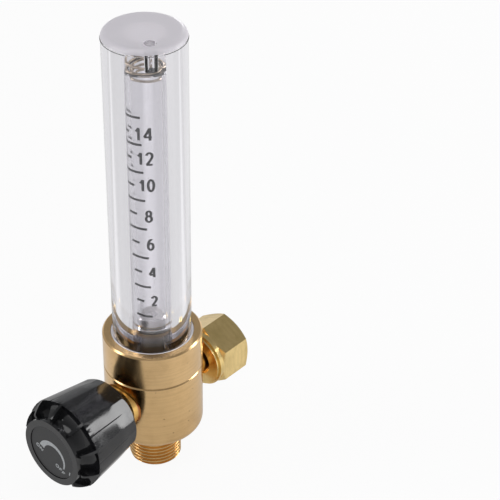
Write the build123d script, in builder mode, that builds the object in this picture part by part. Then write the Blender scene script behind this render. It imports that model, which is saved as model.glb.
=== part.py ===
from build123d import *
import os
from math import cos, hypot, pi, radians, sin, sqrt

# Argon flowmeter: a brass valve body with a union-nut inlet on one side, a needle valve
# with a moulded knob on the other, a threaded outlet below and a clear metering head above.
# All sizes are millimetres. The origin is the centre of the outlet's lower end face, +Z runs
# up the metering tube, the knob points along -Y and the inlet along +Y.

# Outlet stub, a 3/8 inch parallel pipe thread
outlet_thread_r = 8.33
outlet_thread_len = 13.6
outlet_end_chamfer = 0.3
outlet_bore_r = 4.0
outlet_bore_depth = 16.5
outlet_cone_depth = 1.3

# Turned brass body
body_r = 15.6
lower_body_h = 24.1
body_edge_r = 2.8
joint_groove = 0.35
collar_wall_t = 1.2
neck_wall_t = 2.0
neck_h = 8.3
pocket_floor_h = 1.5
gallery_inner_r = 5.2
gallery_outer_r = 8.2
gallery_depth = 1.5

# Retaining collar that screws over the neck
collar_h = 12.1
collar_lip_t = 1.1
collar_lip_gap = 0.7
collar_edge = 0.5
thread_play = 0.05
washer_t = 0.9
washer_clearance = 0.08

# Thick clear outer tube
shroud_play = 0.1
shroud_bore_r = 6.15
shroud_rise = 103.8
shroud_top_t = 2.5
shroud_edge_r = 2.0
shroud_flange_play = 0.5
shroud_flange_t = 1.8
shroud_foot_gap = 0.3
parting_ridge = 0.12
parting_ridge_drop = 2.2
pin_hole_share = 0.29
pin_hole_place = 0.37
pin_hole_depth = 7.8
pin_hole_draft = 1.0
pin_hole_angle = -35.4
shroud_seal_wire = 1.35
shroud_groove_rise = 2.0
seal_groove_play = 0.25

# Clear tapered metering tube
meter_r = 5.9
meter_top_r = 4.62
meter_bore_r = 3.98
meter_skirt_r = 5.25
meter_skirt_len = 10.9
meter_len = 99.4
meter_edge = 0.35

# Float seat, the brass spigot that the metering tube stands on
seat_base_r = 4.5
seat_base_len = 4.5
seat_flange_r = 5.0
seat_flange_t = 1.0
seat_spigot_r = 3.55
seat_spigot_len = 15.3
seat_bore_r = 2.3
seat_collar_r = 4.9
seat_collar_t = 1.0
meter_seal_wire = 1.68
seat_nose = 0.62
plenum_depth = 1.5

# Turned float
float_r = 3.9
float_head_len = 3.0
float_tail_r = 1.6
float_tail_len = 6.0
float_chamfer = 0.3

# Two-stage wire spring over the metering tube
spring_wire_r = 0.35
spring_wide_r = 5.35
spring_narrow_r = 4.05
spring_closed_turns = 0.75
spring_foot_turns = 0.5
spring_wide_turns = 1.5
spring_step_turns = 0.5
spring_narrow_turns = 2.25
spring_narrow_pitch = 1.6
spring_points_per_turn = 12

# Needle valve, on the -Y side
valve_drop = 9.5
orifice_r = 1.2
orifice_outer = 6.0
orifice_inner = 2.5
chamber_r = 3.5
chamber_len = 2.0
spot_face_play = 0.4
bonnet_shank_r = 5.5
bonnet_flange_r = 7.2
bonnet_flange_t = 2.2
bonnet_groove = 0.4
bonnet_cone_start_r = 6.5
bonnet_cone_end_r = 5.7
bonnet_cone_len = 2.2
bonnet_sleeve_r = 5.0
bonnet_sleeve_len = 5.0
bonnet_seal_t = 0.8
stem_thread_r = 2.95
stem_bore_r = 3.0
stem_r = 2.0
stem_play = 0.05
stem_thread_room = 2.17
needle_tip_r = 0.5
needle_len = 2.6
needle_play = 0.04
needle_neck_r = 1.9
stem_seal_wire = 0.94
packing_bore_r = 3.6
packing_depth = 4.0
packing_len = 2.2
gland_af = 12.0
gland_t = 1.8
gland_skirt_gap = 0.4
return_port_r = 0.9
outlet_port_r = 1.5
outlet_port_offset = 2.3

# Knob
knob_gap = 0.43
knob_len = 25.5
knob_facets = 10
knob_index = 92.0
knob_rear_corner_r = 12.35
knob_front_corner_r = 16.0
facet_crown = 0.22
facet_edge_r = 0.6
knob_rear_edge_r = 3.0
knob_rim_r = 11.3
knob_rim_t = 1.1
knob_shoulder_len = 6.2
knob_nose_r = 13.6
knob_nose_drop = 2.6
scoop_len = 5.6
scoop_floor_r = 10.5
scoop_floor_len = 2.2
scoop_bulge = 0.9
web_t = 0.9
knob_cavity_r = 9.4
knob_cavity_len = 18.0
hub_r = 4.4
hub_drop = 8.1
hub_web_t = 1.8
label_recess_r = 9.1
label_recess_depth = 0.55
label_t = 0.3
label_clearance = 0.12
screw_pocket_r = 3.5
screw_pocket_depth = 1.9
screw_r = 1.25
screw_play = 0.15
screw_head_r = 2.75
screw_head_t = 1.5
screw_len = 8.0
screw_slot_w = 0.8
screw_slot_depth = 0.7
stem_flat = 0.5
stem_hub_play = 0.02

# Inlet nipple and union nut, on the +Y side
inlet_drop = 12.3
nipple_r = 4.3
nipple_bore_r = 2.4
nipple_thread_r = 5.0
nipple_thread_len = 6.0
nipple_shoulder_r = 6.2
nipple_shoulder_t = 1.4
nipple_seal_t = 0.8
nipple_head_r = 7.1
nipple_head_t = 2.2
nipple_nose_r = 4.6
nipple_nose_len = 2.6
filter_r = 3.3
filter_len = 3.0
filter_ring_wire = 0.6
filter_pocket_len = 4.2
nut_gap = 4.115
nut_boss_r = 9.0
nut_boss_len = 1.0
nut_collar_r = 9.65
nut_collar_len = 1.6
nut_af = 19.0
nut_len = 14.5
nut_wall_t = 3.5
nut_hole_r = 5.3
nut_thread_r = 7.48
nut_relief_r = 8.4
nut_relief_play = 0.3
nut_face_play = 0.05
chamfer_slope = 0.577
feed_port_r = 1.75
feed_port_offset = 2.6

# Radii worked out from the body's
neck_r = body_r - collar_wall_t
pocket_r = neck_r - neck_wall_t
shroud_r = pocket_r - shroud_play
shroud_flange_r = neck_r - shroud_flange_play
collar_lip_r = shroud_r + collar_lip_gap
shroud_wall_t = shroud_r - shroud_bore_r
pin_hole_r = shroud_wall_t * pin_hole_share
pin_hole_offset = shroud_bore_r + shroud_wall_t * pin_hole_place

# Heights worked out from the sizes above
body_bottom = outlet_thread_len
joint_z = body_bottom + lower_body_h
collar_top = joint_z + collar_h
neck_top = joint_z + neck_h
pocket_floor = joint_z + pocket_floor_h
valve_z = joint_z - valve_drop
inlet_z = joint_z - inlet_drop
lip_bottom = collar_top - collar_lip_t
shroud_top = collar_top + shroud_rise
shroud_end = shroud_top - shroud_top_t
seat_top = pocket_floor + seat_flange_t + seat_spigot_len
seat_collar_top = seat_top - seat_nose - meter_seal_wire
meter_shoulder = seat_top - seat_nose + 0.02
meter_bottom = meter_shoulder - meter_skirt_len
meter_top = meter_bottom + meter_len
seat_hole_floor = pocket_floor - seat_base_len - plenum_depth
float_tail_bottom = seat_top - float_tail_len

# Distances out from the body's axis along the valve
spot_face = sqrt(body_r**2 - (bonnet_flange_r + spot_face_play) ** 2) + 0.05
bonnet_inner = orifice_outer + chamber_len
bonnet_seat = spot_face + bonnet_seal_t
bonnet_cone = bonnet_seat + bonnet_flange_t
bonnet_sleeve = bonnet_cone + bonnet_cone_len
bonnet_end = bonnet_sleeve + bonnet_sleeve_len
packing_floor = bonnet_end - packing_depth
packing_top = packing_floor + packing_len
gland_inner = bonnet_end + 0.2
gland_outer = gland_inner + gland_t
knob_rear = bonnet_sleeve + knob_gap
knob_front = knob_rear + knob_len
knob_shoulder = knob_front - knob_shoulder_len
scoop_rear = knob_front - scoop_len
scoop_bottom = knob_front - scoop_floor_len
hub_start = knob_rear + hub_drop
recess_floor = knob_front - label_recess_depth
screw_seat = recess_floor - screw_pocket_depth
hub_web = screw_seat - hub_web_t
scoop_front = knob_front - knob_rim_t
needle_tip = orifice_outer - needle_len + 0.2
stem_shoulder = bonnet_inner + 0.4

# Distances out from the body's axis along the inlet
nipple_face = sqrt(body_r**2 - (nipple_shoulder_r + spot_face_play) ** 2) + 0.05
nipple_seat = nipple_face + nipple_seal_t
nut_rear = nipple_seat + nipple_shoulder_t + nut_gap
nut_end = nut_rear + nut_len
nut_shoulder = nut_rear + nut_wall_t
nipple_head = nut_shoulder + nut_face_play
nipple_nose = nipple_head + nipple_head_t
nipple_end = nipple_nose + nipple_nose_len
nut_relief = nipple_end + nut_relief_play
nut_hex = nut_rear + nut_boss_len + nut_collar_len

valve_section = Plane(origin=(0, 0, valve_z), x_dir=(0, -1, 0), z_dir=(-1, 0, 0))
valve_axis = Axis((0, 0, valve_z), (0, -1, 0))
inlet_section = Plane(origin=(0, 0, inlet_z), x_dir=(0, 1, 0), z_dir=(1, 0, 0))
inlet_axis = Axis((0, 0, inlet_z), (0, 1, 0))

os.makedirs("parts", exist_ok=True)


def valve_end(distance):
    """Plane across the valve's axis, seen from in front of the knob."""
    return Plane(origin=(0, -distance, valve_z), x_dir=(1, 0, 0), z_dir=(0, -1, 0))


def inlet_end(distance):
    """Plane across the inlet's axis, seen from the inlet's open end."""
    return Plane(origin=(0, distance, inlet_z), x_dir=(-1, 0, 0), z_dir=(0, 1, 0))


def ring(inner, outer, low, high):
    """Half section of a plain ring or tube, to be turned about the sketch's axis."""
    Polygon((inner, low), (outer, low), (outer, high), (inner, high))


def side_ring(start, end, inner, outer):
    """Half section of a ring about a horizontal axis, from start to end along it."""
    Polygon((start, inner), (end, inner), (end, outer), (start, outer))


def save(piece, name):
    piece.part.label = name
    export_step(piece.part, f"parts/{name}.step")


# Brass body with the outlet stub and the neck that takes the collar
with BuildPart() as body:
    with BuildSketch(Plane.XZ):
        Polygon(
            (0, 0),
            (outlet_thread_r - outlet_end_chamfer, 0),
            (outlet_thread_r, outlet_end_chamfer),
            (outlet_thread_r, body_bottom),
            (body_r, body_bottom),
            (body_r, joint_z - joint_groove),
            (body_r - joint_groove, joint_z),
            (neck_r, joint_z),
            (neck_r, neck_top),
            (0, neck_top),
        )
    revolve(axis=Axis.Z)
    bottom_edge = body.edges().filter_by(GeomType.CIRCLE).filter_by(
        lambda e: abs(e.radius - body_r) < 0.01 and abs(e.center().Z - body_bottom) < 0.01
    )
    fillet(bottom_edge, body_edge_r)
    with BuildSketch(Plane.XZ):
        ring(0, pocket_r, pocket_floor, neck_top)
        ring(gallery_inner_r, gallery_outer_r, pocket_floor - gallery_depth, pocket_floor)
        ring(0, seat_base_r, seat_hole_floor, pocket_floor)
        ring(0, outlet_bore_r, 0, outlet_bore_depth)
        Polygon(
            (0, 0),
            (outlet_bore_r + outlet_cone_depth, 0),
            (outlet_bore_r, outlet_cone_depth),
            (0, outlet_cone_depth),
        )
    revolve(axis=Axis.Z, mode=Mode.SUBTRACT)
    with BuildSketch(valve_section):
        side_ring(orifice_inner, orifice_outer, 0, orifice_r)
        side_ring(orifice_outer, bonnet_inner, 0, chamber_r)
        side_ring(bonnet_inner, body_r, 0, bonnet_shank_r)
        side_ring(spot_face, body_r + 1, 0, bonnet_flange_r + spot_face_play)
    revolve(axis=valve_axis, mode=Mode.SUBTRACT)
    with BuildSketch(inlet_section):
        side_ring(feed_port_offset, body_r, 0, nipple_bore_r)
        side_ring(nipple_face - nipple_thread_len, body_r, 0, nipple_thread_r)
        side_ring(nipple_face, body_r + 1, 0, nipple_shoulder_r + spot_face_play)
    revolve(axis=inlet_axis, mode=Mode.SUBTRACT)
    with BuildSketch(Plane.XY.offset(inlet_z)):
        with Locations((0, feed_port_offset)):
            Circle(feed_port_r)
    extrude(amount=seat_hole_floor - inlet_z, mode=Mode.SUBTRACT)
    with BuildSketch(Plane.XY.offset(outlet_bore_depth)):
        with Locations((0, -outlet_port_offset)):
            Circle(outlet_port_r)
    extrude(amount=valve_z - outlet_bore_depth, mode=Mode.SUBTRACT)
    with BuildSketch(Plane.XY.offset(valve_z)):
        with Locations((0, -(orifice_outer + chamber_len / 2))):
            Circle(return_port_r)
    extrude(amount=pocket_floor - gallery_depth - valve_z, mode=Mode.SUBTRACT)
save(body, "body")

# Brass retaining collar, screwed over the neck, whose lip holds the clear tube down
with BuildPart() as tube_collar:
    with BuildSketch(Plane.XZ):
        Polygon(
            (neck_r + thread_play, joint_z),
            (body_r - joint_groove, joint_z),
            (body_r, joint_z + joint_groove),
            (body_r, collar_top - collar_edge),
            (body_r - collar_edge, collar_top),
            (collar_lip_r, collar_top),
            (collar_lip_r, lip_bottom),
            (neck_r + thread_play, lip_bottom),
        )
    revolve(axis=Axis.Z)
save(tube_collar, "tube_collar")

# White slip washer between the collar's lip and the tube's flange
with BuildPart() as collar_washer:
    with BuildSketch(Plane.XZ):
        ring(shroud_r + washer_clearance, neck_r - washer_clearance, lip_bottom - washer_t, lip_bottom)
    revolve(axis=Axis.Z)
save(collar_washer, "collar_washer")

# Clear outer tube: one thick moulding with a closed top and a clamping flange
shroud_foot = pocket_floor + shroud_foot_gap
shroud_groove_r = pocket_r - shroud_seal_wire
shroud_groove_z = shroud_foot + shroud_groove_rise
shroud_groove_h = shroud_seal_wire + seal_groove_play
ridge_z = shroud_top - parting_ridge_drop
with BuildPart() as outer_tube:
    with BuildSketch(Plane.XZ):
        ring(0, shroud_r, shroud_foot, shroud_top)
    revolve(axis=Axis.Z)
    fillet(outer_tube.edges().filter_by(GeomType.CIRCLE).group_by(Axis.Z)[-1], shroud_edge_r)
    with BuildSketch(Plane.XZ):
        ring(0, shroud_flange_r, neck_top, neck_top + shroud_flange_t)
        Polygon(
            (0, ridge_z - parting_ridge),
            (shroud_r, ridge_z - parting_ridge),
            (shroud_r + parting_ridge, ridge_z),
            (shroud_r, ridge_z + parting_ridge),
            (0, ridge_z + parting_ridge),
        )
    revolve(axis=Axis.Z)
    with BuildSketch(Plane.XZ):
        ring(0, shroud_bore_r, shroud_foot, shroud_end)
        ring(shroud_groove_r, pocket_r, shroud_groove_z, shroud_groove_z + shroud_groove_h)
    revolve(axis=Axis.Z, mode=Mode.SUBTRACT)
    with BuildSketch(Plane.XY.offset(shroud_top)):
        with PolarLocations(pin_hole_offset, 1, start_angle=pin_hole_angle):
            Circle(pin_hole_r)
    extrude(amount=-pin_hole_depth, taper=pin_hole_draft, mode=Mode.SUBTRACT)
save(outer_tube, "outer_tube")

# O-ring round the outer tube's foot
shroud_seal_z = shroud_groove_z + shroud_groove_h / 2
with BuildPart() as outer_tube_seal:
    with BuildSketch(Plane.XZ):
        with Locations((pocket_r - shroud_seal_wire / 2, shroud_seal_z)):
            Circle(shroud_seal_wire / 2)
    revolve(axis=Axis.Z)
save(outer_tube_seal, "outer_tube_seal")

# Float seat: a brass spigot with a collar that carries the metering tube's O-ring
with BuildPart() as float_seat:
    with BuildSketch(Plane.XZ):
        ring(seat_bore_r, seat_base_r, pocket_floor - seat_base_len, pocket_floor)
        ring(seat_bore_r, seat_flange_r, pocket_floor, pocket_floor + seat_flange_t)
        ring(seat_bore_r, seat_spigot_r, pocket_floor + seat_flange_t, seat_top)
        ring(seat_bore_r, seat_collar_r, seat_collar_top - seat_collar_t, seat_collar_top)
    revolve(axis=Axis.Z)
save(float_seat, "float_seat")

# O-ring that seals the metering tube's shoulder to the seat
with BuildPart() as metering_tube_seal:
    with BuildSketch(Plane.XZ):
        with Locations((seat_spigot_r + meter_seal_wire / 2 + 0.01, seat_collar_top + meter_seal_wire / 2)):
            Circle(meter_seal_wire / 2)
    revolve(axis=Axis.Z)
save(metering_tube_seal, "metering_tube_seal")

# Clear metering tube, whose bore widens towards the top
with BuildPart() as metering_tube:
    with BuildSketch(Plane.XZ):
        Polygon(
            (meter_skirt_r, meter_bottom),
            (meter_r, meter_bottom),
            (meter_r, meter_top - meter_edge),
            (meter_r - meter_edge, meter_top),
            (meter_top_r, meter_top),
            (meter_bore_r, meter_shoulder),
            (meter_skirt_r, meter_shoulder),
        )
    revolve(axis=Axis.Z)
save(metering_tube, "metering_tube")

# Turned float: a disc head on a slimmer tail that hangs in the seat's bore
with BuildPart() as float_bobbin:
    with BuildSketch(Plane.XZ):
        Polygon(
            (0, float_tail_bottom),
            (float_tail_r - float_chamfer, float_tail_bottom),
            (float_tail_r, float_tail_bottom + float_chamfer),
            (float_tail_r, seat_top),
            (float_r - float_chamfer, seat_top),
            (float_r, seat_top + float_chamfer),
            (float_r, seat_top + float_head_len - float_chamfer),
            (float_r - float_chamfer, seat_top + float_head_len),
            (0, seat_top + float_head_len),
        )
    revolve(axis=Axis.Z)
save(float_bobbin, "float_bobbin")

# Wire spring: wide coils hold the metering tube down, narrow coils inside it stop the float
spring_high = shroud_end - spring_wire_r - 0.02
spring_rest = meter_top + spring_wire_r + 0.02
spring_step_start = spring_closed_turns + spring_wide_turns + spring_foot_turns
spring_drop_start = spring_step_start + spring_step_turns
spring_turns = spring_drop_start + spring_narrow_turns
spring_spans = round(spring_turns * spring_points_per_turn)


def spring_point(turn):
    """Centre of the wire after so many turns from the top."""
    fall = min(max((turn - spring_closed_turns) / spring_wide_turns, 0), 1) * (spring_high - spring_rest)
    step = min(max((turn - spring_step_start) / spring_step_turns, 0), 1)
    radius = spring_wide_r + (spring_narrow_r - spring_wide_r) * (3 - 2 * step) * step**2
    drop = max(turn - spring_drop_start, 0) * spring_narrow_pitch
    angle = 2 * pi * turn
    return (radius * cos(angle), radius * sin(angle), spring_high - fall - drop)


with BuildPart() as tube_spring:
    with BuildLine() as spring_path:
        Spline(*[spring_point(spring_turns * k / spring_spans) for k in range(spring_spans + 1)])
    with BuildSketch(Plane(origin=spring_path.line @ 0, z_dir=spring_path.line % 0)):
        Circle(spring_wire_r)
    sweep(path=spring_path.line)
save(tube_spring, "tube_spring")

# Sealing washer under the bonnet's flange
with BuildPart() as bonnet_seal:
    with BuildSketch(valve_section):
        side_ring(spot_face, bonnet_seat, bonnet_shank_r + washer_clearance, bonnet_flange_r)
    revolve(axis=valve_axis)
save(bonnet_seal, "bonnet_seal")

# Brass bonnet: screwed shank, round flange with a turned groove, cone and gland sleeve
with BuildPart() as valve_bonnet:
    with BuildSketch(valve_section):
        Polygon(
            (bonnet_inner, stem_bore_r),
            (packing_floor, stem_bore_r),
            (packing_floor, packing_bore_r),
            (bonnet_end, packing_bore_r),
            (bonnet_end, bonnet_sleeve_r),
            (bonnet_sleeve, bonnet_sleeve_r),
            (bonnet_sleeve, bonnet_cone_end_r),
            (bonnet_cone, bonnet_cone_start_r),
            (bonnet_cone, bonnet_flange_r - bonnet_groove),
            (bonnet_cone - bonnet_groove, bonnet_flange_r),
            (bonnet_seat, bonnet_flange_r),
            (bonnet_seat, bonnet_shank_r - thread_play),
            (bonnet_inner, bonnet_shank_r - thread_play),
        )
    revolve(axis=valve_axis)
save(valve_bonnet, "valve_bonnet")

# Packing ring round the stem
with BuildPart() as stem_packing:
    with BuildSketch(valve_section):
        side_ring(packing_floor, packing_top, stem_r + stem_play, packing_bore_r - thread_play)
    revolve(axis=valve_axis)
save(stem_packing, "stem_packing")

# Hexagon gland nut that squeezes the packing
gland_start = bonnet_sleeve + gland_skirt_gap
gland_corner_r = gland_af / sqrt(3)
gland_face_r = gland_af / 2 * 0.96
with BuildPart() as gland_nut:
    with BuildSketch(valve_end(gland_start)):
        RegularPolygon(radius=gland_corner_r, side_count=6)
    extrude(amount=gland_outer - gland_start)
    with BuildSketch(valve_section):
        Polygon(
            (gland_start, 0),
            (gland_outer, 0),
            (gland_outer, gland_face_r),
            (gland_outer - (gland_corner_r - gland_face_r) * chamfer_slope, gland_corner_r),
            (gland_start, gland_corner_r),
        )
    revolve(axis=valve_axis, mode=Mode.INTERSECT)
    with BuildSketch(valve_section):
        side_ring(gland_start, gland_inner, 0, bonnet_sleeve_r + thread_play)
        side_ring(gland_inner, gland_outer, 0, stem_r + stem_play)
    revolve(axis=valve_axis, mode=Mode.SUBTRACT)
    with BuildSketch(valve_section):
        side_ring(packing_top, gland_inner, stem_r + stem_play, packing_bore_r - thread_play)
    revolve(axis=valve_axis)
save(gland_nut, "gland_nut")

# Needle stem: needle, O-ring groove, screwed part and a shaft with a flat for the knob
stem_end = hub_web
stem_groove_start = stem_shoulder + 0.6
stem_groove_end = stem_groove_start + stem_seal_wire + 0.1
stem_thread_end = packing_floor - stem_thread_room
needle_seat_r = orifice_r - needle_play
needle_slope = (needle_seat_r - needle_tip_r) / (orifice_outer - needle_tip)
needle_root = orifice_outer + (needle_neck_r - needle_seat_r) / needle_slope * 0.5
with BuildPart() as valve_stem:
    with BuildSketch(valve_section):
        Polygon(
            (needle_tip, 0),
            (needle_tip, needle_tip_r),
            (orifice_outer, needle_seat_r),
            (needle_root, needle_neck_r),
            (stem_shoulder, needle_neck_r),
            (stem_shoulder, stem_thread_r),
            (stem_groove_start, stem_thread_r),
            (stem_groove_start, stem_r),
            (stem_groove_end, stem_r),
            (stem_groove_end, stem_thread_r),
            (stem_thread_end, stem_thread_r),
            (stem_thread_end + 0.5, stem_r),
            (stem_end, stem_r),
            (stem_end, 0),
        )
    revolve(axis=valve_axis)
    with BuildSketch(valve_end(hub_start)):
        with Locations((0, 2 * stem_r - stem_flat)):
            Rectangle(4 * stem_r, 2 * stem_r)
    extrude(amount=stem_end - hub_start, mode=Mode.SUBTRACT)
    with BuildSketch(valve_section):
        side_ring(screw_seat - screw_len - 0.5, stem_end, 0, screw_r + thread_play)
    revolve(axis=valve_axis, mode=Mode.SUBTRACT)
save(valve_stem, "valve_stem")

# O-ring that slides with the stem inside the bonnet
with BuildPart() as stem_seal:
    with BuildSketch(valve_section):
        with Locations((stem_groove_start + stem_seal_wire / 2 + 0.05, stem_r + stem_seal_wire / 2 + 0.01)):
            Circle(stem_seal_wire / 2)
    revolve(axis=valve_axis)
save(stem_seal, "stem_seal")


def corner_radius(distance):
    """Radius of the knob's facet corners, which grows towards the front."""
    share = (distance - knob_rear) / (knob_front - knob_rear)
    return knob_rear_corner_r + (knob_front_corner_r - knob_rear_corner_r) * share


def facet_points(distance):
    """Outline of the knob's faceted barrel: sharp corners with a slight crown between them."""
    crown_r = corner_radius(distance) * cos(pi / knob_facets) + facet_crown
    points = []
    for k in range(2 * knob_facets):
        angle = radians(knob_index + 180 / knob_facets * k)
        radius = crown_r if k % 2 else corner_radius(distance)
        points.append((radius * cos(angle), radius * sin(angle)))
    return points


# The ring of scoops at the knob's front end, parted by thin webs
knob_shoulder_r = corner_radius(knob_shoulder)
scoop_mid_s = (scoop_rear + scoop_bottom) / 2 - scoop_bulge
scoop_mid_r = (knob_shoulder_r + scoop_floor_r) / 2 - scoop_bulge
with BuildPart() as knob_scoops:
    with BuildSketch(valve_section):
        with BuildLine():
            ThreePointArc(
                (scoop_rear, knob_shoulder_r),
                (scoop_mid_s, scoop_mid_r),
                (scoop_bottom, scoop_floor_r),
            )
            Polyline(
                (scoop_bottom, scoop_floor_r),
                (scoop_front, scoop_floor_r),
                (scoop_front, knob_front_corner_r + 1),
                (scoop_rear, knob_front_corner_r + 1),
                (scoop_rear, knob_shoulder_r),
            )
        make_face()
    revolve(axis=valve_axis)
    web_span = knob_front_corner_r + 2 - scoop_floor_r
    with BuildSketch(valve_end(scoop_rear - 1)):
        with PolarLocations(scoop_floor_r - 1 + web_span / 2, knob_facets, start_angle=knob_index):
            Rectangle(web_span, web_t)
    extrude(amount=scoop_front - scoop_rear + 1, mode=Mode.SUBTRACT)

# Moulded knob: faceted barrel, round shoulders, scooped front end, rimmed face and hollow rear
knob_rear_round = knob_rear + knob_rear_edge_r
knob_rear_r = corner_radius(knob_rear_round)
knob_rear_bite = knob_rear_edge_r * (1 - sqrt(0.5))
knob_clear_r = knob_front_corner_r + 1
with BuildPart() as knob:
    for distance in (knob_rear, knob_front):
        with BuildSketch(valve_end(distance)):
            Polygon(*facet_points(distance))
    loft()
    barrel_edges = knob.edges().filter_by(lambda e: e.length > knob_len * 0.9)
    ridges = barrel_edges.sort_by(lambda e: -hypot(e.center().X, e.center().Z - valve_z))[:knob_facets]
    fillet(ridges, facet_edge_r)
    with BuildSketch(valve_section):
        with BuildLine():
            Polyline((knob_rear, 0), (knob_rear, knob_rear_r - knob_rear_edge_r))
            ThreePointArc(
                (knob_rear, knob_rear_r - knob_rear_edge_r),
                (knob_rear + knob_rear_bite, knob_rear_r - knob_rear_bite),
                (knob_rear_round, knob_rear_r),
            )
            Polyline(
                (knob_rear_round, knob_rear_r),
                (knob_rear_round, knob_clear_r),
                (knob_shoulder, knob_clear_r),
                (knob_shoulder, knob_shoulder_r),
            )
            ThreePointArc(
                (knob_shoulder, knob_shoulder_r),
                (knob_front - knob_nose_drop, knob_nose_r),
                (knob_front, knob_rim_r),
            )
            Polyline((knob_front, knob_rim_r), (knob_front, 0), (knob_rear, 0))
        make_face()
    revolve(axis=valve_axis, mode=Mode.INTERSECT)
    add(knob_scoops.part, mode=Mode.SUBTRACT)
    with BuildSketch(valve_section):
        side_ring(scoop_front, knob_front, knob_rim_r, knob_front_corner_r + 1)
        side_ring(knob_rear, knob_rear + knob_cavity_len, 0, knob_cavity_r)
        side_ring(recess_floor, knob_front, 0, label_recess_r)
        side_ring(screw_seat, recess_floor, 0, screw_pocket_r)
        side_ring(hub_web, screw_seat, 0, screw_r + screw_play)
    revolve(axis=valve_axis, mode=Mode.SUBTRACT)
    with BuildSketch(valve_section):
        side_ring(hub_start, screw_seat, 0, hub_r)
    revolve(axis=valve_axis)
    with BuildSketch(valve_end(hub_start)):
        Circle(stem_r + stem_hub_play)
        with Locations((0, 2 * stem_r - stem_flat + 2 * stem_hub_play)):
            Rectangle(4 * stem_r, 2 * stem_r, mode=Mode.SUBTRACT)
    extrude(amount=hub_web - hub_start, mode=Mode.SUBTRACT)
    with BuildSketch(valve_section):
        side_ring(hub_web, screw_seat, 0, screw_r + screw_play)
    revolve(axis=valve_axis, mode=Mode.SUBTRACT)
save(knob, "knob")

# Screw that holds the knob on the stem, hidden under the label
with BuildPart() as knob_screw:
    with BuildSketch(valve_section):
        side_ring(screw_seat - screw_len, screw_seat, 0, screw_r)
        side_ring(screw_seat, screw_seat + screw_head_t, 0, screw_head_r)
    revolve(axis=valve_axis)
    with BuildSketch(valve_end(screw_seat + screw_head_t - screw_slot_depth)):
        Rectangle(2 * screw_head_r + 1, screw_slot_w)
    extrude(amount=screw_slot_depth, mode=Mode.SUBTRACT)
save(knob_screw, "knob_screw")

# Printed disc in the knob's face
with BuildPart() as knob_label:
    with BuildSketch(valve_end(recess_floor)):
        Circle(label_recess_r - label_clearance)
    extrude(amount=label_t)
save(knob_label, "knob_label")

# Sealing washer under the nipple's shoulder
with BuildPart() as nipple_seal:
    with BuildSketch(inlet_section):
        side_ring(nipple_face, nipple_seat, nipple_thread_r + washer_clearance, nipple_shoulder_r)
    revolve(axis=inlet_axis)
save(nipple_seal, "nipple_seal")

# Brass inlet nipple: screwed end, shoulder, stem and a coned head that traps the union nut
nipple_start = nipple_face - nipple_thread_len + 0.2
filter_seat = nipple_end - filter_pocket_len
with BuildPart() as inlet_nipple:
    with BuildSketch(inlet_section):
        Polygon(
            (nipple_start, nipple_bore_r),
            (nipple_start, nipple_thread_r - thread_play),
            (nipple_seat, nipple_thread_r - thread_play),
            (nipple_seat, nipple_shoulder_r),
            (nipple_seat + nipple_shoulder_t, nipple_shoulder_r),
            (nipple_seat + nipple_shoulder_t, nipple_r),
            (nipple_head, nipple_r),
            (nipple_head, nipple_head_r),
            (nipple_nose, nipple_head_r),
            (nipple_end, nipple_nose_r),
            (nipple_end, filter_r + thread_play),
            (filter_seat, filter_r + thread_play),
            (filter_seat, nipple_bore_r),
        )
    revolve(axis=inlet_axis)
save(inlet_nipple, "inlet_nipple")

# Sintered filter disc in the nipple's mouth, and the wire ring that keeps it there
filter_end = filter_seat + filter_len
with BuildPart() as inlet_filter:
    with BuildSketch(inlet_section):
        side_ring(filter_seat, filter_end, 0, filter_r)
    revolve(axis=inlet_axis)
save(inlet_filter, "inlet_filter")

with BuildPart() as filter_ring:
    with BuildSketch(inlet_section):
        with Locations((filter_end + filter_ring_wire / 2, filter_r - filter_ring_wire / 2)):
            Circle(filter_ring_wire / 2)
    revolve(axis=inlet_axis)
save(filter_ring, "filter_ring")

# Loose union nut: turned boss and collar, chamfered hexagon, thread bore, relief and rear hole
nut_corner_r = nut_af / sqrt(3)
nut_chamfer_r = nut_af / 2 * 0.96
with BuildPart() as inlet_nut:
    with BuildSketch(inlet_end(nut_hex)):
        RegularPolygon(radius=nut_corner_r, side_count=6, rotation=90)
    extrude(amount=nut_end - nut_hex)
    with BuildSketch(inlet_section):
        Polygon(
            (nut_hex, 0),
            (nut_hex, nut_collar_r),
            (nut_hex + (nut_corner_r - nut_collar_r) * chamfer_slope, nut_corner_r),
            (nut_end - (nut_corner_r - nut_chamfer_r) * chamfer_slope, nut_corner_r),
            (nut_end, nut_chamfer_r),
            (nut_end, 0),
        )
    revolve(axis=inlet_axis, mode=Mode.INTERSECT)
    with BuildSketch(inlet_section):
        side_ring(nut_rear, nut_rear + nut_boss_len, 0, nut_boss_r)
        side_ring(nut_rear + nut_boss_len, nut_hex, 0, nut_collar_r)
    revolve(axis=inlet_axis)
    with BuildSketch(inlet_section):
        side_ring(nut_rear, nut_shoulder, 0, nut_hole_r)
        side_ring(nut_shoulder, nut_relief, 0, nut_relief_r)
        side_ring(nut_relief, nut_end, 0, nut_thread_r)
    revolve(axis=inlet_axis, mode=Mode.SUBTRACT)
save(inlet_nut, "inlet_nut")
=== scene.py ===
from math import cos, hypot, pi, radians, sin, tau

import bmesh
import bpy
from mathutils import Matrix, Vector


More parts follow.
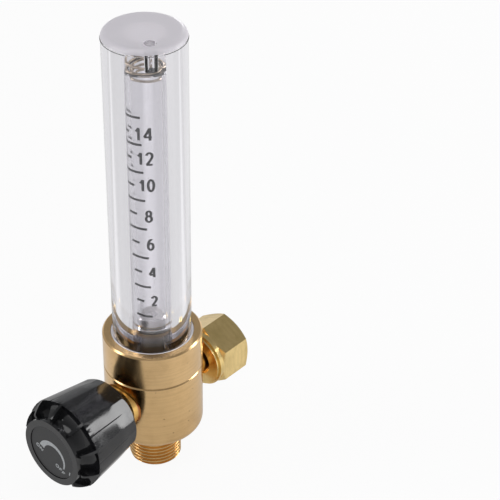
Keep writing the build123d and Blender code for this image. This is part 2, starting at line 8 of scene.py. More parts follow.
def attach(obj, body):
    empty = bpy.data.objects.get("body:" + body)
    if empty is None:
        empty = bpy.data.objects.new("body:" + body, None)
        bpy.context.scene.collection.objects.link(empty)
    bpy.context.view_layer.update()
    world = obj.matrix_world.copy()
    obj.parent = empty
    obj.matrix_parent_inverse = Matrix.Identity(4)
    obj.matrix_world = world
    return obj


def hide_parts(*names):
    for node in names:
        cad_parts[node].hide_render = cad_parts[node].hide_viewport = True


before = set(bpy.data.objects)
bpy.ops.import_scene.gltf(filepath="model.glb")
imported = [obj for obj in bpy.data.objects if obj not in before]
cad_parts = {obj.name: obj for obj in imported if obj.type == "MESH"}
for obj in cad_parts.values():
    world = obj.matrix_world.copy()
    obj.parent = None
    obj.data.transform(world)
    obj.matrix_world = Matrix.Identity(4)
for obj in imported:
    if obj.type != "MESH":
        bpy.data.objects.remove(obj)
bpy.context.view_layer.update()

# The camera stands well above the valve and to one side, so that the knob points left and
# towards it. It looks down along a long lens, the way small fittings are photographed.
camera_turn, camera_pitch, camera_roll = radians(40.3), radians(34.81), radians(0.815)
camera_reach, collar_top_height = 0.518866, 0.0498
frame_pixels, focal_pixels = 500, 1667.127
collar_right_pixels, collar_down_pixels = -97.738, 78.4
look = Vector((0, cos(camera_pitch), -sin(camera_pitch)))
level_side = Vector((1, 0, 0))
level_top = level_side.cross(look)
camera_side = level_side * cos(camera_roll) + level_top * sin(camera_roll)
camera_top = level_top * cos(camera_roll) - level_side * sin(camera_roll)
stand = (camera_top * collar_down_pixels - camera_side * collar_right_pixels) / focal_pixels - look
camera = bpy.data.objects.new("camera", bpy.data.cameras.new("camera"))
bpy.context.collection.objects.link(camera)
camera.data.sensor_width = 36
camera.data.lens = focal_pixels / frame_pixels * camera.data.sensor_width
camera.data.clip_start, camera.data.clip_end = 0.01, 20
turned = Matrix.Translation((0, 0, collar_top_height)) @ Matrix.Rotation(camera_turn, 4, "Z")
facing = Matrix((camera_side, camera_top, -look)).transposed().to_4x4()
camera.matrix_world = turned @ Matrix.Translation(stand * camera_reach) @ facing
bpy.context.scene.camera = camera
bpy.context.scene.view_settings.view_transform = "Standard"

# The table is a plain matt sheet a hair below the outlet's end face, and keeps a soft
# shadow. Looked at directly it is white. In the brass it is palest far to the right, and
# through the clear tubes it is palest near the middle.
table_half, table_height = 6.0, -0.0002
table_grey, table_glow = 0.66, 1.03
seen_lift = 0.9
side_from, side_to, front_lift, side_lift = 0.02, 0.06, 0.31, 0.54
far_right, far_right_lift = 0.11, 0.98
clear_strip, grey_strip, grey_lift = 0.01, 0.06, 0.48


def fill(tree, node, sockets):
    """Gives a node's inputs their fixed values, or links from other nodes' outputs."""
    for socket, value in sockets.items():
        if isinstance(value, bpy.types.NodeSocket):
            tree.links.new(value, node.inputs[socket])
        else:
            node.inputs[socket].default_value = value
    return node


def add_node(tree, kind, sockets=None, **settings):
    """Adds a shader node with these settings and inputs."""
    node = tree.nodes.new("ShaderNode" + kind)
    for setting, value in settings.items():
        setattr(node, setting, value)
    return fill(tree, node, sockets or {})


def ramp(tree, value, low_result, high_result, low=0.0, high=1.0, smooth=False):
    """Output that runs from one result to the other while a value runs from low to high."""
    spans = {"From Min": low, "From Max": high, "To Min": low_result, "To Max": high_result}
    kind = "SMOOTHSTEP" if smooth else "LINEAR"
    return add_node(tree, "MapRange", {"Value": value, **spans}, interpolation_type=kind).outputs[0]


table_mesh = bpy.data.meshes.new("table_sheet")
table_mesh.from_pydata(
    [(-table_half, -table_half, table_height), (table_half, -table_half, table_height),
     (table_half, table_half, table_height), (-table_half, table_half, table_height)],
    [], [(0, 1, 2, 3)])
table_sheet = bpy.data.objects.new("table_sheet", table_mesh)
bpy.context.collection.objects.link(table_sheet)
table_white = bpy.data.materials.new("table_white")
table_white.use_nodes = True
tree = table_white.node_tree
tree.nodes.clear()
where = add_node(tree, "TexCoord")
square_on = add_node(tree, "VectorRotate", {"Vector": where.outputs["Object"], "Angle": -camera_turn})
apart = add_node(tree, "SeparateXYZ", {0: square_on.outputs[0]})
aside = add_node(tree, "Math", {0: apart.outputs["X"]}, operation="ABSOLUTE").outputs[0]
in_brass = ramp(tree, aside, front_lift, side_lift, side_from, side_to, smooth=True)
in_brass = ramp(tree, apart.outputs["X"], in_brass, far_right_lift, side_to, far_right, smooth=True)
through_tubes = ramp(tree, aside, seen_lift, grey_lift, clear_strip, grey_strip, smooth=True)
# A ray through clear plastic counts as a glossy one too, so the kinds are taken in this order.
paths = add_node(tree, "LightPath")
glossy_part = {0: paths.outputs["Is Glossy Ray"], 1: in_brass}
lift = add_node(tree, "Math", glossy_part, operation="MULTIPLY").outputs[0]
lift = ramp(tree, paths.outputs["Is Transmission Ray"], lift, through_tubes)
lift = ramp(tree, paths.outputs["Is Camera Ray"], lift, seen_lift)
matt = add_node(tree, "BsdfDiffuse", {"Color": (table_grey, table_grey, table_grey, 1)})
glow = add_node(tree, "Emission", {"Strength": table_glow})
either = add_node(tree, "MixShader", {0: lift, 1: matt.outputs[0], 2: glow.outputs[0]})
add_node(tree, "OutputMaterial", {"Surface": either.outputs[0]})
table_mesh.materials.append(table_white)

# The light tent is a pale surround that darkens overhead. A low soft window on the right
# gives the knob its bright band, with a narrow one behind, a tall one on the left and a
# broad one overhead.
tent_horizon, tent_zenith, tent_through, tent_seen = 0.58, 0.18, 0.78, 1.0
window_aim = Vector((0, 0, 0.06))
world = bpy.data.worlds.new("light_tent")
bpy.context.scene.world = world
world.use_nodes = True
tree = world.node_tree
tree.nodes.clear()
where = add_node(tree, "TexCoord")
apart = add_node(tree, "SeparateXYZ", {0: where.outputs["Generated"]})
paths = add_node(tree, "LightPath")
strength = ramp(tree, apart.outputs["Z"], tent_horizon, tent_zenith)
strength = ramp(tree, paths.outputs["Is Transmission Ray"], strength, tent_through)
strength = ramp(tree, paths.outputs["Is Camera Ray"], strength, tent_seen)
tent = add_node(tree, "Background", {"Color": (0.97, 0.98, 1.0, 1), "Strength": strength})
add_node(tree, "OutputWorld", {"Surface": tent.outputs[0]})


def around(turn, reach, height):
    """A place round the valve, turn degrees to the right of the camera's own side."""
    angle = radians(turn) + camera_turn - pi / 2
    return Vector((reach * cos(angle), reach * sin(angle), height))


def soft_window(name, place, width, height, watts):
    """A diffused studio window that faces the middle of the valve."""
    lamp = bpy.data.lights.new(name, "AREA")
    lamp.shape = "RECTANGLE"
    lamp.size, lamp.size_y = width, height
    lamp.energy = watts
    holder = bpy.data.objects.new(name, lamp)
    bpy.context.collection.objects.link(holder)
    holder.location = place
    holder.rotation_euler = (place - window_aim).to_track_quat("Z", "Y").to_euler()


soft_window("window_right", around(104, 0.7, 0.21), 0.22, 0.36, 1.75)
soft_window("window_behind", around(171, 0.7, 0.24), 0.08, 0.2, 0.5)
soft_window("window_left", around(-80, 0.8, 0.45), 0.18, 0.7, 1.8)
soft_window("window_above", around(10, 0.25, 1.0), 0.6, 0.6, 2.3)

# The valve body is one bar of brass, turned all over, with ports drilled into it. Its skin
# keeps fine lathe rings, a few darker tarnish clouds and tiny pits. The plain stub below is
# left out here, because the cut thread takes its place.
mm = 0.001
dulling, band_share, dull_roughening = 0.4, 0.7, 0.12
band_from, band_to = 0.35, 0.7
cloud_from, cloud_to = 0.42, 0.68
pit_rarity, pit_brown = 0.93, (0.10, 0.06, 0.025, 1)


def placed(name, mesh, material):
    """A new piece at the origin that holds this mesh and this one material."""
    mesh.materials.clear()
    mesh.materials.append(material)
    piece = bpy.data.objects.new(name, mesh)
    bpy.context.collection.objects.link(piece)
    return piece


def start_material(name):
    """A new material, its node tree and its main shader."""
    material = bpy.data.materials.new(name)
    material.use_nodes = True
    return material, material.node_tree, material.node_tree.nodes["Principled BSDF"]


def mixed(tree, share, first, second):
    """Output that blends two colours by a share from 0 to 1."""
    colours = {"Factor": share, "A": first, "B": second}
    return add_node(tree, "Mix", colours, data_type="RGBA").outputs["Result"]


def group_sockets(group, inputs, outputs):
    """Names a node group's sockets, and hands back the nodes that carry them."""
    for name, kind, value in inputs:
        socket = group.interface.new_socket(name, in_out="INPUT", socket_type="NodeSocket" + kind)
        socket.default_value = value
    for name in outputs:
        group.interface.new_socket(name, in_out="OUTPUT", socket_type="NodeSocketFloat")
    return group.nodes.new("NodeGroupInput"), group.nodes.new("NodeGroupOutput")


def build_lathe_rings():
    """Tool rings of a turned face: they vary along and away from the axis, never round it."""
    group = bpy.data.node_groups.new("lathe_rings", "ShaderNodeTree")
    given, made = group_sockets(
        group,
        [("Vector", "Vector", (0, 0, 0)), ("Axis Point", "Vector", (0, 0, 0)), ("Axis", "Vector", (0, 0, 1)),
         ("Fine", "Float", 9000.0), ("Broad", "Float", 900.0)],
        ["Height", "Bands"])
    place = given.outputs["Vector"]
    offset = add_node(group, "VectorMath", {0: place, 1: given.outputs["Axis Point"]}, operation="SUBTRACT")
    against_axis = {0: offset.outputs[0], 1: given.outputs["Axis"]}
    along = add_node(group, "VectorMath", against_axis, operation="DOT_PRODUCT")
    across = add_node(group, "VectorMath", against_axis, operation="CROSS_PRODUCT")
    away = add_node(group, "VectorMath", {0: across.outputs[0]}, operation="LENGTH")
    pair = add_node(group, "CombineXYZ", {0: along.outputs["Value"], 1: away.outputs["Value"]})
    for scale, name, detail in (("Fine", "Height", 3.0), ("Broad", "Bands", 2.0)):
        sockets = {"Vector": pair.outputs[0], "Scale": given.outputs[scale], "Detail": detail}
        fill(group, made, {name: add_node(group, "TexNoise", sockets).outputs[0]})
    return group


def build_tarnish():
    """Soft clouds of tarnish and a few tiny pits, as masks from 0 to 1."""
    group = bpy.data.node_groups.new("tarnish", "ShaderNodeTree")
    given, made = group_sockets(
        group,
        [("Vector", "Vector", (0, 0, 0)), ("Cloud Scale", "Float", 120.0), ("Pit Scale", "Float", 700.0),
         ("Pit Size", "Float", 0.12)],
        ["Clouds", "Pits"])
    place = given.outputs["Vector"]
    noise = add_node(group, "TexNoise", {
        "Vector": place, "Scale": given.outputs["Cloud Scale"], "Detail": 6.0, "Roughness": 0.6})
    clouds = ramp(group, noise.outputs[0], 0.0, 1.0, cloud_from, cloud_to, smooth=True)
    cells = add_node(group, "TexVoronoi", {"Vector": place, "Scale": given.outputs["Pit Scale"]})
    sized = {0: cells.outputs["Distance"], 1: given.outputs["Pit Size"]}
    near = add_node(group, "Math", sized, operation="LESS_THAN")
    chance = add_node(group, "SeparateColor", {0: cells.outputs["Color"]})
    few = add_node(group, "Math", {0: chance.outputs[0], 1: pit_rarity}, operation="GREATER_THAN")
    pits = add_node(group, "Math", {0: near.outputs[0], 1: few.outputs[0]}, operation="MULTIPLY")
    fill(group, made, {"Clouds": clouds, "Pits": pits.outputs[0]})
    return group


lathe_rings = build_lathe_rings()
tarnish = build_tarnish()


def turned_metal(name, bright, dull, roughness, line, ring_depth=0.010, broad=900.0):
    """Turned metal: a bright and a dulled colour, lathe rings about a line, clouds and pits."""
    material, tree, metal = start_material(name)
    axis_point, axis = line
    where = add_node(tree, "TexCoord")
    turning = {"Vector": where.outputs["Object"], "Axis Point": axis_point, "Axis": axis, "Broad": broad}
    rings = add_node(tree, "Group", turning, node_tree=lathe_rings)
    stains = add_node(tree, "Group", {"Vector": where.outputs["Object"]}, node_tree=tarnish)
    bands = ramp(tree, rings.outputs["Bands"], 0.0, dulling * band_share, band_from, band_to)
    clouds_and_bands = {0: stains.outputs["Clouds"], 1: dulling, 2: bands}
    dulled = add_node(tree, "Math", clouds_and_bands, operation="MULTIPLY_ADD").outputs[0]
    skin = mixed(tree, dulled, (*bright, 1), (*dull, 1))
    bump = add_node(tree, "Bump", {
        "Strength": 0.5, "Distance": ring_depth * mm, "Height": rings.outputs["Height"]})
    fill(tree, metal, {
        "Base Color": mixed(tree, stains.outputs["Pits"], skin, pit_brown), "Metallic": 1.0,
        "Roughness": ramp(tree, dulled, roughness, roughness + dull_roughening), "Normal": bump.outputs[0]})
    return material


def smooth_mesh(name, shape, sharp_degrees):
    """Turns a drawn shape into a mesh, smooth but for the edges sharper than this."""
    mesh = bpy.data.meshes.new(name)
    shape.to_mesh(mesh)
    shape.free()
    mesh.shade_smooth()
    mesh.set_sharp_from_angle(angle=radians(sharp_degrees))
    return mesh


tube_line = ((0, 0, 0), (0, 0, 1))
stub_top_height, stub_mouth_r = 13.6, 5.3
height_slack, mouth_slack, least_drop = 0.01, 0.05, 0.2


def on_plain_stub(face):
    """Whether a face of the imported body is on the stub's outside or its end."""
    below_top = all(v.co.z < (stub_top_height + height_slack) * mm for v in face.verts)
    off_the_bore = all(hypot(v.co.x, v.co.y) > (stub_mouth_r - mouth_slack) * mm for v in face.verts)
    reaches_down = any(v.co.z < (stub_top_height - least_drop) * mm for v in face.verts)
    return below_top and off_the_bore and reaches_down


body_mesh = bpy.data.meshes.new("valve_body")
shape = bmesh.new()
shape.from_mesh(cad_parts["body"].data)
bmesh.ops.delete(shape, geom=[face for face in shape.faces if on_plain_stub(face)], context="FACES")
shape.to_mesh(body_mesh)
shape.free()
valve_body = placed("valve_body", body_mesh, turned_metal(
    "body_brass", (0.80, 0.535, 0.26), (0.60, 0.385, 0.175), 0.17, tube_line))
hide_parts("body")
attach(valve_body, "housing")

# The outlet thread is cut with a die on the body's brass stub: rounded crests and roots, one
# start, and a chamfer that thins the first turn. It is more orange than the satin body.
thread_crest_r, thread_depth, thread_pitch = 8.33, 0.72, 1.337
thread_steps, thread_rows_per_turn = 96, 14
thread_chamfer, thread_sharp_degrees = 0.75, 60
crest_share, flank_share = 0.12, 0.40


def round_steps(steps):
    """Even angles all the way round."""
    return [tau * step / steps for step in range(steps)]


def ring_mesh(name, rings, sharp_degrees, closed=False):
    """A mesh through rings of points, each a radius, an angle and a height in millimetres."""
    shape = bmesh.new()
    loops = [[shape.verts.new((radius * cos(angle) * mm, radius * sin(angle) * mm, height * mm))
              for radius, angle, height in ring] for ring in rings]
    for below, above in zip(loops, loops[1:] + (loops[:1] if closed else [])):
        for k in range(len(below)):
            after = (k + 1) % len(below)
            shape.faces.new((below[k], below[after], above[after], above[k]))
    bmesh.ops.recalc_face_normals(shape, faces=shape.faces)
    return smooth_mesh(name, shape, sharp_degrees)


def thread_radius(angle, height):
    """Radius of the thread at this place: crest, sloping flanks, root and end chamfer."""
    turn = (height / thread_pitch - angle / tau) % 1.0
    down = min(max((abs(turn - 0.5) - crest_share) / (flank_share - crest_share), 0.0), 1.0)
    smooth = down * down * (3 - 2 * down)
    return min(thread_crest_r - thread_depth * smooth, thread_crest_r - thread_chamfer + height)


thread_rings = [[(stub_mouth_r, angle, 0) for angle in round_steps(thread_steps)]]
rows = round(stub_top_height / thread_pitch * thread_rows_per_turn)
for height in [stub_top_height * row / rows for row in range(rows + 1)]:
    ring = [(thread_radius(angle, height), angle, height) for angle in round_steps(thread_steps)]
    thread_rings.append(ring)
thread_mesh = ring_mesh("outlet_thread", thread_rings, thread_sharp_degrees)
outlet_thread = placed("outlet_thread", thread_mesh, turned_metal(
    "thread_brass", (0.82, 0.53, 0.23), (0.58, 0.34, 0.13), 0.17, tube_line))
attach(outlet_thread, "housing")


# The retaining collar is a turned brass ring, screwed down over the body's neck. Its inner
# lip traps the white slip washer and the clear tube's flange.
def finish_node(name, material):
    """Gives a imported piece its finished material."""
    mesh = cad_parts[name].data
    mesh.materials.clear()
    mesh.materials.append(material)


finish_node("tube_collar", turned_metal(
    "collar_brass", (0.80, 0.54, 0.27), (0.60, 0.39, 0.18), 0.19, tube_line, broad=1400.0))

# The slip washer under the collar's lip is white fluoroplastic, waxy, with a faint turned
# grain. Its thin lip stands up round the tube and shows in the gap. The stem's packing is
# the same material.
washer_lip_t, washer_lip_height = 0.48, 49.55
washer_steps, washer_sharp_degrees = 96, 40
washer_white, tree, waxy = start_material("washer_white")
where = add_node(tree, "TexCoord")
grain = add_node(tree, "Group", {"Vector": where.outputs["Object"]}, node_tree=lathe_rings)
fill(tree, waxy, {
    "Base Color": mixed(tree, grain.outputs["Bands"], (0.88, 0.86, 0.90, 1), (0.78, 0.77, 0.80, 1)),
    "Roughness": 0.38, "Subsurface Weight": 0.1, "Subsurface Radius": (0.001, 0.001, 0.001)})
finish_node("stem_packing", washer_white)
washer_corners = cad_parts["collar_washer"].data.vertices
washer_radii = sorted(hypot(v.co.x, v.co.y) / mm for v in washer_corners)
washer_foot, washer_top = min(v.co.z for v in washer_corners) / mm, max(v.co.z for v in washer_corners) / mm
bore_r, rim_r = washer_radii[0], washer_radii[-1]
washer_outline = [
    (bore_r, washer_foot), (rim_r, washer_foot), (rim_r, washer_top), (bore_r + washer_lip_t, washer_top),
    (bore_r + washer_lip_t, washer_lip_height), (bore_r, washer_lip_height)]
washer_rings = [[(radius, angle, height) for angle in round_steps(washer_steps)]
                for radius, height in washer_outline]
washer_mesh = ring_mesh("slip_washer", washer_rings, washer_sharp_degrees, closed=True)
slip_washer = placed("slip_washer", washer_mesh, washer_white)
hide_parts("collar_washer")
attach(slip_washer, "housing")

# The sealing washers under the bonnet and the nipple are annealed copper, dull and brown at
# the edge that shows. One material does for both: its rings run about a line halfway between
# their own.
side_axis = (0, 1, 0)
halfway_line = ((0, 0, 0.0268), side_axis)
copper = turned_metal("washer_copper", (0.66, 0.33, 0.15), (0.36, 0.17, 0.08), 0.3, halfway_line)
for name in ("bonnet_seal", "nipple_seal"):
    finish_node(name, copper)


# The O-rings are moulded nitrile: matt black rubber with a bloom of fine dust. They seal
# the feet of both tubes and the stem.
def clouded(name, first, second, cloud_scale, finish):
    """A material that shifts between two colours in soft clouds, with fixed finish values."""
    material, tree, skin = start_material(name)
    where = add_node(tree, "TexCoord")
    spread = {"Vector": where.outputs["Object"], "Cloud Scale": cloud_scale}
    clouds = add_node(tree, "Group", spread, node_tree=tarnish)
    tone = mixed(tree, clouds.outputs["Clouds"], (*first, 1), (*second, 1))
    fill(tree, skin, {"Base Color": tone, **finish})
    return material


seal_rubber = clouded("seal_rubber", (0.018, 0.018, 0.018), (0.05, 0.05, 0.05), 700.0, {"Roughness": 0.5})
for name in ("outer_tube_seal", "metering_tube_seal", "stem_seal"):
    finish_node(name, seal_rubber)

# The outer tube is one thick moulding of clear polycarbonate with a closed top, clamped at
# its foot. It is polished, with faint flow ripples and a greyish lilac cast in its depth,
# and satin on the upper side of its closed top.
satin_from_height, satin_slope = 151.5, 0.15
flow_squeeze, flow_dimming = 0.12, 0.96


def clear_plastic(name, cast, ripple, clarity, roughness=0.0):
    """Clear moulded plastic: lets lamps through to what is inside, with faint flow ripples."""
    material, tree, clear = start_material(name)
    where = add_node(tree, "TexCoord")
    stretch = add_node(tree, "Mapping", {"Vector": where.outputs["Object"], "Scale": (1, 1, flow_squeeze)})
    flow = add_node(tree, "TexNoise", {"Vector": stretch.outputs[0], "Scale": 160.0, "Detail": 2.0})
    dimmed = [part * flow_dimming for part in cast]
    bump = add_node(tree, "Bump", {"Strength": ripple, "Distance": 0.05 * mm, "Height": flow.outputs[0]})
    fill(tree, clear, {
        "Base Color": mixed(tree, flow.outputs[0], (*cast, 1), (*dimmed, 1)), "Roughness": roughness,
        "IOR": 1.58, "Transmission Weight": clarity, "Normal": bump.outputs[0]})
    passed = add_node(tree, "BsdfTransparent", {"Color": (0.93, 0.93, 0.94, 1)})
    paths = add_node(tree, "LightPath")
    either = add_node(tree, "MixShader", {
        0: paths.outputs["Is Shadow Ray"], 1: clear.outputs[0], 2: passed.outputs[0]})
    fill(tree, tree.nodes["Material Output"], {"Surface": either.outputs[0]})
    return material


tube_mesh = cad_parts["outer_tube"].data.copy()
outer_shroud = placed("outer_shroud", tube_mesh, clear_plastic("outer_clear", (0.93, 0.92, 0.95), 0.1, 1.0))
tube_mesh.materials.append(clear_plastic("outer_top_satin", (0.96, 0.92, 0.98), 0.1, 0.2, roughness=0.4))
for face in tube_mesh.polygons:
    if face.center.z > satin_from_height * mm and face.normal.z > satin_slope:
        face.material_index = 1
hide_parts("outer_tube")
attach(outer_shroud, "housing")

# The metering tube is a thinner clear tube with a tapered bore, so the float climbs higher
# as more gas flows. The spring above presses it down on its O-ring.
finish_node("metering_tube", clear_plastic("inner_clear", (0.985, 0.982, 0.99), 0.04, 0.99))

# The scale is black ink on the metering tube, a little askew: a long stroke at each odd
# mark, a short one at each even mark, and a bold figure beside each even mark.
scale_r, scale_marks = 5.93, 15
ink_film = 0.02
first_mark_height, mark_step, mark_closing = 60.94, 5.574, 0.0441
stroke_end_turn, stroke_skew = 6.37, 0.2373
long_stroke_turn, short_stroke_turn, short_start_turn = 37.5, 17.0, 3.0
stroke_t, stroke_spans = 0.76, 12
stroke_curl, curl_power = 0.85, 1.8
stroke_growth, figure_growth = 0.00015, 0.0032
figure_turn, figure_gap_turn = 5.8, 5.0
figure_height, figure_t = 3.85, 0.64
# The print is uneven: each figure, and two of the short strokes, sit this far below the mark.
figure_drops = {2: -0.3, 4: -0.05, 6: 0.4, 8: 0.5, 10: -0.4, 12: 0.0, 14: 0.95}
stroke_drops = {12: 0.15, 14: 0.75}
longest_span, touching = 0.35, 1e-6


def arc(centre_x, centre_y, wide, high, start, end, spans=22):
    """Points along part of an ellipse, from one angle to another in degrees."""
    steps = [radians(start + (end - start) * k / spans) for k in range(spans + 1)]
    return [(centre_x + wide * cos(angle), centre_y + high * sin(angle)) for angle in steps]


# Each figure: its width in degrees round the tube, and its pen strokes in a unit square.
figure_pens = {
    "0": (16.4, [arc(0.5, 0.5, 0.5, 0.5, 0, 360)]),
    "1": (10.6, [[(1.0, 0.0), (1.0, 1.0)], [(1.0, 1.0), (0.62, 0.82), (0.0, 0.70)]]),
    "2": (17.0, [arc(0.5, 0.72, 0.46, 0.28, 165, -25) + [(0.62, 0.36), (0.08, 0.0)],
                 [(0.0, 0.0), (1.0, 0.0)]]),
    "4": (19.0, [[(0.76, 0.0), (0.76, 1.0)], [(0.76, 1.0), (0.02, 0.27)], [(0.02, 0.27), (1.0, 0.27)]]),
    "6": (16.6, [arc(0.5, 0.33, 0.48, 0.33, 0, 360), arc(0.62, 0.42, 0.60, 0.58, 178, 72)]),
    "8": (16.6, [arc(0.5, 0.765, 0.40, 0.235, 0, 360), arc(0.5, 0.27, 0.5, 0.27, 0, 360)]),
}


def draw_pen_stroke(shape, points, width, put):
    """A ribbon of ink along a line of points in millimetres; put() lays them on the piece."""
    path = [points[0]]
    for x, y in points[1:]:
        from_x, from_y = path[-1]
        across, up = x - from_x, y - from_y
        spans = max(1, round(hypot(across, up) / longest_span))
        path += [(from_x + across * k / spans, from_y + up * k / spans) for k in range(1, spans + 1)]
    closed = hypot(path[0][0] - path[-1][0], path[0][1] - path[-1][1]) < touching
    if closed:
        path.pop()
    count = len(path)
    sides = []
    for k, (x, y) in enumerate(path):
        before = path[k - 1] if k or closed else path[k]
        after = path[(k + 1) % count] if k < count - 1 or closed else path[k]
        run = Vector((after[0] - before[0], after[1] - before[1])).normalized() * width / 2
        edges = (put(x - run.y, y + run.x), put(x + run.y, y - run.x))
        sides.append([shape.verts.new(edge) for edge in edges])
    for k in range(count if closed else count - 1):
        (left, right), (next_left, next_right) = sides[k], sides[(k + 1) % count]
        shape.faces.new((left, right, next_right, next_left))


def ink_piece(name, shape, material, body):
    """Turns drawn ribbons into a thin film of ink that rides on a body."""
    mesh = bpy.data.meshes.new(name)
    shape.to_mesh(mesh)
    shape.free()
    piece = placed(name, mesh, material)
    film = piece.modifiers.new("film", "SOLIDIFY")
    film.thickness = ink_film * mm
    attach(piece, body)


def mark_height(mark):
    """Height of a mark in millimetres; the marks close up towards the top."""
    return first_mark_height + mark_step * (mark - 1) - mark_closing * (mark - 1) ** 2


def end_turn(height):
    """Where the strokes end at a height, in degrees right of the camera's own side."""
    return stroke_end_turn - stroke_skew * (height - first_mark_height)


def on_scale(x, y):
    """A place on the printed face: x millimetres round it from the camera's side, y up."""
    angle = x / scale_r + camera_turn - pi / 2
    return (scale_r * cos(angle) * mm, scale_r * sin(angle) * mm, y * mm)


# One degree round the printed face, in millimetres.
degree = radians(1) * scale_r
shape = bmesh.new()
for mark in range(1, scale_marks + 1):
    height = mark_height(mark)
    size = 1 + stroke_growth * (height - first_mark_height) ** 2
    start, length = (0, long_stroke_turn) if mark % 2 else (short_start_turn, short_stroke_turn)
    points = []
    for k in range(stroke_spans + 1):
        turn = start + length * k / stroke_spans
        rise = stroke_curl * (1 - turn / long_stroke_turn) ** curl_power - stroke_drops.get(mark, 0)
        points.append(((end_turn(height) - (long_stroke_turn - turn) * size) * degree, height + rise))
    draw_pen_stroke(shape, points, stroke_t, on_scale)
for mark, drop in figure_drops.items():
    height = mark_height(mark)
    size = 1 + figure_growth * (height - first_mark_height)
    pens = [figure_pens[figure] for figure in str(mark)]
    turn = end_turn(height) + figure_turn
    turn -= (sum(wide for wide, strokes in pens) + figure_gap_turn * (len(pens) - 1)) * size / 2
    for wide, strokes in pens:
        for stroke in strokes:
            left = turn * degree + figure_t / 2
            across, up = wide * size * degree - figure_t, figure_height * size - figure_t
            points = [(left + x * across, height - drop + (y - 0.5) * up) for x, y in stroke]
            draw_pen_stroke(shape, points, figure_t, on_scale)
        turn += (wide + figure_gap_turn) * size
ink_black = clouded("ink_black", (0.008, 0.008, 0.010), (0.03, 0.03, 0.033), 900.0, {"Roughness": 0.6})
ink_piece("printed_scale", shape, ink_black, "housing")

# The float is a small turned steel bobbin that rests on the brass seat when no gas flows.
# Both are fine turned, so each ring catches the light. The seat is duller.
float_ring_depth = 0.02
finish_node("float_bobbin", turned_metal(
    "float_steel", (0.60, 0.58, 0.57), (0.42, 0.40, 0.39), 0.25, tube_line, ring_depth=float_ring_depth))
finish_node("float_seat", turned_metal(
    "seat_brass", (0.50, 0.36, 0.22), (0.34, 0.23, 0.13), 0.3, tube_line, ring_depth=float_ring_depth))

# The spring is coiled from drawn wire. Its wide coils hold the metering tube down, and the
# narrow ones inside that tube stop the float. The same wire makes the filter's ring.
spring_wire = clouded(
    "spring_wire", (0.50, 0.42, 0.33), (0.26, 0.21, 0.15), 500.0, {"Metallic": 1.0, "Roughness": 0.28})
for name in ("tube_spring", "filter_ring"):
    finish_node(name, spring_wire)

# The bonnet screws into the body's side and carries the stem. It is bright turned brass,
# with a groove round its flange. The knob hides the gland nut on its sleeve and the stem,
# which is turned from the bar too.
valve_centre = (0, 0, 0.0282)
valve_line = (valve_centre, side_axis)
bonnet_brass = turned_metal("bonnet_brass", (0.95, 0.61, 0.20), (0.74, 0.42, 0.12), 0.24, valve_line)
for name in ("valve_bonnet", "gland_nut"):
    finish_node(name, bonnet_brass)
finish_node("valve_stem", turned_metal(
    "stem_brass", (0.76, 0.54, 0.26), (0.56, 0.37, 0.16), 0.22, valve_line))

# The knob is one phenolic moulding, black and glossy, with ten facets that swell towards
# the face, scoops between thin webs at the front and a raised rim round the label. Each
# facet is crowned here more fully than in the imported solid, with a fine line along it.
knob_facets, first_ridge = 10, 92
barrel_rear, barrel_front, barrel_least_r, least_outward = 22.3, 38.65, 11.0, 0.8
crown_laid, crown_full = 0.22, 0.42
line_half_turn, line_depth = 0.6, 0.09
crown_cuts = (0, line_half_turn, 1.2, 4, 7, 10, 13, 16.4)
fade_length, fade_cuts = 5.6, 8
cut_slack = 1e-8
knob_sharp_degrees = 24


def barrel_faces(shape):
    """The knob's faces on the outside of its barrel."""
    found = []
    for face in shape.faces:
        middle = face.calc_center_median()
        out = Vector((middle.x, 0, middle.z - valve_centre[2]))
        if (-barrel_front * mm < middle.y < -barrel_rear * mm and out.length > barrel_least_r * mm
                and face.normal.dot(out.normalized()) > least_outward):
            found.append(face)
    return found


def cut_barrel(shape, place, across):
    """Cuts the barrel's faces along a plane, so that they can be crowned."""
    faces = barrel_faces(shape)
    edges = {edge for face in faces for edge in face.edges}
    corners = {vert for face in faces for vert in face.verts}
    bmesh.ops.bisect_plane(
        shape, geom=[*corners, *edges, *faces], plane_co=place, plane_no=across, dist=cut_slack)


shape = bmesh.new()
shape.from_mesh(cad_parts["knob"].data)
for cut in range(1, fade_cuts + 1):
    cut_barrel(shape, (0, -(barrel_rear + fade_length * cut / fade_cuts) * mm, 0), side_axis)
facet_turn = 360 / knob_facets
for facet in range(knob_facets // 2):
    middle = first_ridge + facet_turn * (facet + 0.5)
    for turn in crown_cuts:
        for side in ((-1, 1) if turn else (1,)):
            angle = radians(middle + side * turn)
            cut_barrel(shape, valve_centre, (-sin(angle), 0, cos(angle)))
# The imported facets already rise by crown_laid to their middle line. The rise fades out at the rear.
for vert in {vert for face in barrel_faces(shape) for vert in face.verts}:
    out = Vector((vert.co.x, 0, vert.co.z - valve_centre[2]))
    angle = Vector((out.x, out.z)).angle_signed(Vector((1, 0)))
    turn = (angle / radians(1) - first_ridge) % facet_turn - facet_turn / 2
    share = turn / (facet_turn / 2)
    raised = crown_full * (1 - share ** 2) - crown_laid * (1 - abs(share))
    raised -= line_depth * max(0.0, 1 - abs(turn) / line_half_turn)
    fade = min(max((-vert.co.y / mm - barrel_rear) / fade_length, 0.0), 1.0)
    vert.co += out.normalized() * raised * mm * fade * fade * (3 - 2 * fade)
knob_black, tree, moulding = start_material("knob_black")
where = add_node(tree, "TexCoord")
spread = {"Vector": where.outputs["Object"], "Cloud Scale": 180.0}
handled = add_node(tree, "Group", spread, node_tree=tarnish).outputs["Clouds"]
orange_peel = add_node(tree, "TexNoise", {"Vector": where.outputs["Object"], "Scale": 700.0, "Detail": 2.0})
bump = add_node(tree, "Bump", {"Strength": 0.2, "Distance": 0.01 * mm, "Height": orange_peel.outputs[0]})
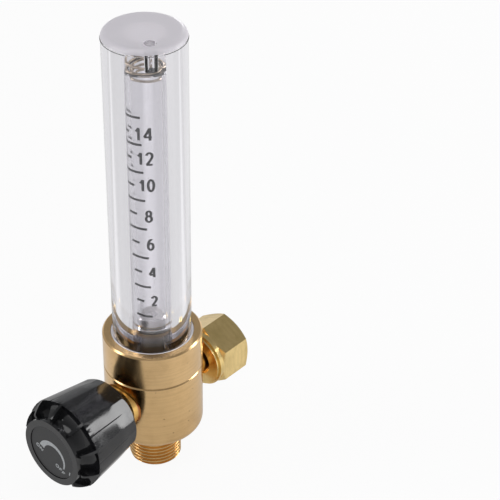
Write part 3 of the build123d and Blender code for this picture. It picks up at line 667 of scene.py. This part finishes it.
fill(tree, moulding, {
    "Base Color": mixed(tree, handled, (0.008, 0.008, 0.009, 1), (0.014, 0.014, 0.016, 1)),
    "Roughness": ramp(tree, handled, 0.09, 0.17), "IOR": 1.52, "Normal": bump.outputs[0]})
knob_moulding = placed("knob_moulding", smooth_mesh("knob_moulding", shape, knob_sharp_degrees), knob_black)
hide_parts("knob")
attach(knob_moulding, "spindle")

# The label is a dark grey film disc, stuck in the knob's face. Its print is pale grey: a
# crescent that swells from OFF to ON, the two words and a small index stroke.
label_face, label_print_turn = -0.04456, radians(-30)
label_print_x, label_print_z = -0.15, -1.7
crescent_r, crescent_thin, crescent_swell = 5.6, 0.5, 1.5
crescent_start, crescent_end, crescent_spans = -25, 157, 48
letter_height, letter_t, letter_gap = 1.45, 0.34, 0.55
letter_pens = {
    "O": (1.15, [arc(0.5, 0.5, 0.5, 0.5, 0, 360)]),
    "N": (1.05, [[(0, 0), (0, 1)], [(0, 1), (1, 0)], [(1, 0), (1, 1)]]),
    "F": (0.85, [[(0, 0), (0, 1)], [(0, 1), (1, 1)], [(0, 0.5), (0.85, 0.5)]]),
}
word_places = {"ON": (-5.0, -1.9), "OFF": (4.5, -1.1)}
index_x, index_y, index_lean, index_length, index_t = 7.6, 2.0, 0.4, 1.3, 0.4


def on_label(x, y):
    """A place on the label: x and y as read with the print upright."""
    across = label_print_x + x * cos(label_print_turn) - y * sin(label_print_turn)
    up = label_print_z + x * sin(label_print_turn) + y * cos(label_print_turn)
    return (across * mm, label_face, valve_centre[2] + up * mm)


def write_word(shape, word, middle_x, middle_y):
    """A word in pen strokes, centred on a place of the label."""
    pens = [letter_pens[letter] for letter in word]
    x = middle_x - (sum(wide for wide, strokes in pens) + letter_gap * (len(pens) - 1)) / 2
    for wide, strokes in pens:
        for stroke in strokes:
            points = [(x + u * wide, middle_y + (v - 0.5) * (letter_height - letter_t)) for u, v in stroke]
            draw_pen_stroke(shape, points, letter_t, on_label)
        x += wide + letter_gap


shape = bmesh.new()
outer, inner = [], []
for k in range(crescent_spans + 1):
    inner_r = crescent_r - (crescent_thin + crescent_swell * k / crescent_spans)
    lean = radians(crescent_start + (crescent_end - crescent_start) * k / crescent_spans) - label_print_turn
    outer.append(shape.verts.new(on_label(crescent_r * cos(lean), crescent_r * sin(lean))))
    inner.append(shape.verts.new(on_label(inner_r * cos(lean), inner_r * sin(lean))))
for k in range(crescent_spans):
    shape.faces.new((outer[k], outer[k + 1], inner[k + 1], inner[k]))
for word, (middle_x, middle_y) in word_places.items():
    write_word(shape, word, middle_x, middle_y)
index_stroke = [(index_x, index_y), (index_x + index_lean, index_y - index_length)]
draw_pen_stroke(shape, index_stroke, index_t, on_label)
ink_grey = clouded("ink_grey", (0.52, 0.54, 0.55), (0.40, 0.42, 0.43), 1500.0, {"Roughness": 0.5})
ink_piece("label_print", shape, ink_grey, "spindle")
label_grey, tree, film = start_material("label_grey")
where = add_node(tree, "TexCoord")
speckle = add_node(tree, "TexNoise", {"Vector": where.outputs["Object"], "Scale": 2500.0})
fill(tree, film, {
    "Base Color": mixed(tree, speckle.outputs[0], (0.018, 0.018, 0.019, 1), (0.030, 0.030, 0.031, 1)),
    "Roughness": 0.5})
finish_node("knob_label", label_grey)

# The knob's screw is zinc plated steel. It clamps the knob on the stem's end, and the label
# hides it.
finish_node("knob_screw", turned_metal(
    "screw_zinc", (0.60, 0.61, 0.62), (0.42, 0.43, 0.44), 0.3, valve_line))

# The nipple, the union nut and the filter make the inlet. The nut is turned at its back
# and milled to a hexagon, and turns freely on the nipple. The filter is sintered bronze.
inlet_line = ((0, 0, 0.0254), side_axis)
finish_node("inlet_nipple", turned_metal(
    "nipple_brass", (0.80, 0.49, 0.19), (0.58, 0.33, 0.11), 0.2, inlet_line))
finish_node("inlet_nut", turned_metal(
    "nut_brass", (0.94, 0.70, 0.31), (0.56, 0.41, 0.15), 0.17, inlet_line))
finish_node("inlet_filter", turned_metal(
    "filter_bronze", (0.45, 0.30, 0.16), (0.26, 0.17, 0.09), 0.6, inlet_line, ring_depth=0.05))
